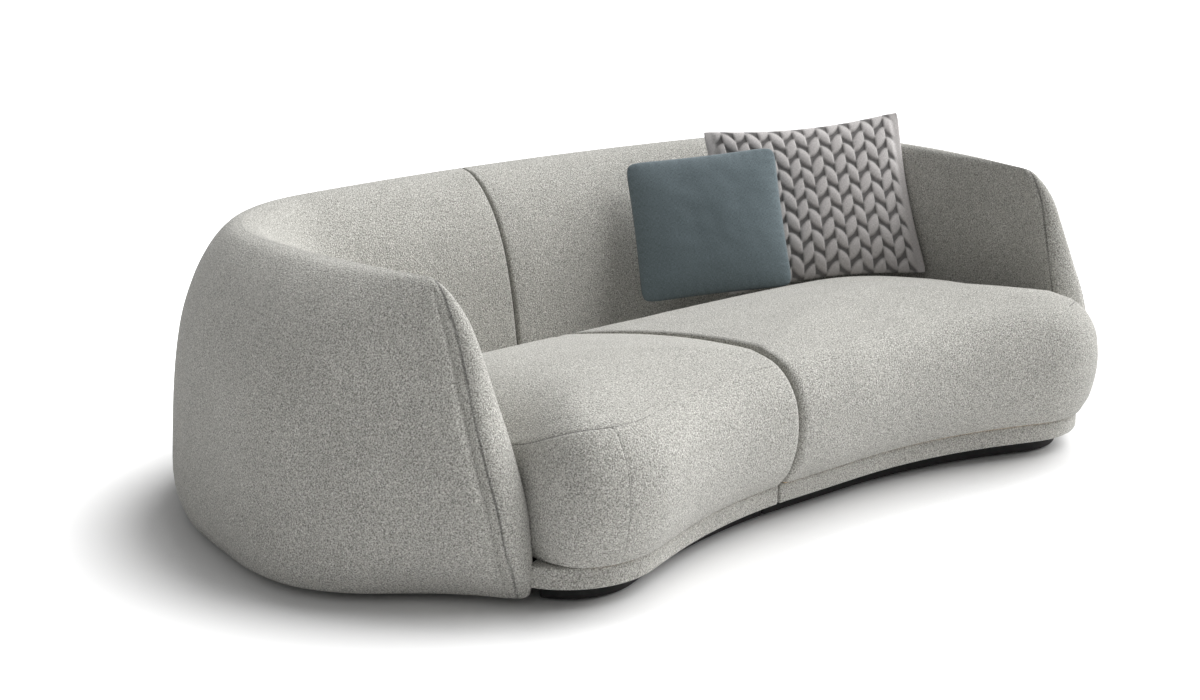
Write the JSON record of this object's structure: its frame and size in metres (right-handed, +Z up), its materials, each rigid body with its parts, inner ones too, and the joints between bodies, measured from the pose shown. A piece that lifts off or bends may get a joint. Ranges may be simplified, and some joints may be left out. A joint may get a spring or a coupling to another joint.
{
  "type": "curved sofa",
  "caption": "Curved low sofa in two upholstered pieces with wrap-round back and arms, domed seats and loose scatter cushions.",
  "frame": {"origin": "under the middle of the whole sofa, on the floor", "axes": "+X to the right seen from the front, -Y to the front, +Z up"},
  "size_m": [2.7492, 1.6562, 0.8204],
  "materials": {
    "upholstery": "pale warm grey boucle",
    "blue_cloth": "plain fine weave",
    "grey_cloth": "quilted",
    "foam": "open cell foam",
    "plywood": "raw",
    "black_board": "matt black",
    "dust_cloth": "black non-woven",
    "black_plastic": "matt",
    "steel": "zinc plated"
  },
  "bodies": {
    "sofa": {"join_plate_front": "steel", "join_plate_rear": "steel", "left_back_cover": "upholstery", "left_back_foam": "foam", "left_back_rib_1": "plywood", "left_back_rib_2": "plywood", "left_back_rib_3": "plywood", "left_back_rib_4": "plywood", "left_back_rib_5": "plywood", "left_back_sill": "black_board", "left_back_top_rail": "plywood", "left_base_band": "upholstery", "left_bracket_rear": "steel", "left_bracket_side": "steel", "left_cross_rail_1": "plywood", "left_cross_rail_2": "plywood", "left_cross_rail_3": "plywood", "left_dust_cover": "dust_cloth", "left_foot_front_corner": "black_plastic", "left_foot_front_middle": "black_plastic", "left_foot_rear_arm": "black_plastic", "left_foot_rear_middle": "black_plastic", "left_front_plinth": "black_board", "left_front_rail": "plywood", "left_rear_rail": "plywood", "left_seat_board": "plywood", "left_seat_cover": "upholstery", "left_seat_foam": "foam", "right_back_cover": "upholstery", "right_back_foam": "foam", "right_back_rib_1": "plywood", "right_back_rib_2": "plywood", "right_back_rib_3": "plywood", "right_back_rib_4": "plywood", "right_back_rib_5": "plywood", "right_back_sill": "black_board", "right_back_top_rail": "plywood", "right_base_band": "upholstery", "right_bracket_rear": "steel", "right_bracket_side": "steel", "right_cross_rail_1": "plywood", "right_cross_rail_2": "plywood", "right_cross_rail_3": "plywood", "right_dust_cover": "dust_cloth", "right_foot_front_corner": "black_plastic", "right_foot_front_middle": "black_plastic", "right_foot_rear_arm": "black_plastic", "right_foot_rear_middle": "black_plastic", "right_front_plinth": "black_board", "right_front_rail": "plywood", "right_rear_rail": "plywood", "right_seat_board": "plywood", "right_seat_cover": "upholstery", "right_seat_foam": "foam"},
    "blue_cushion": {"blue_cushion": "blue_cloth"},
    "grey_cushion": {"grey_cushion": "grey_cloth"}
  },
  "joints": [
    {"name": "blue_cushion_lift", "type": "slide", "parent": "sofa", "child": "blue_cushion", "axis": [0, 0, 1], "range_m": [0, 0.15]},
    {"name": "grey_cushion_lift", "type": "slide", "parent": "sofa", "child": "grey_cushion", "axis": [0.1606, 0.2381, 0.9579], "range_m": [0, 0.15]}
  ]
}
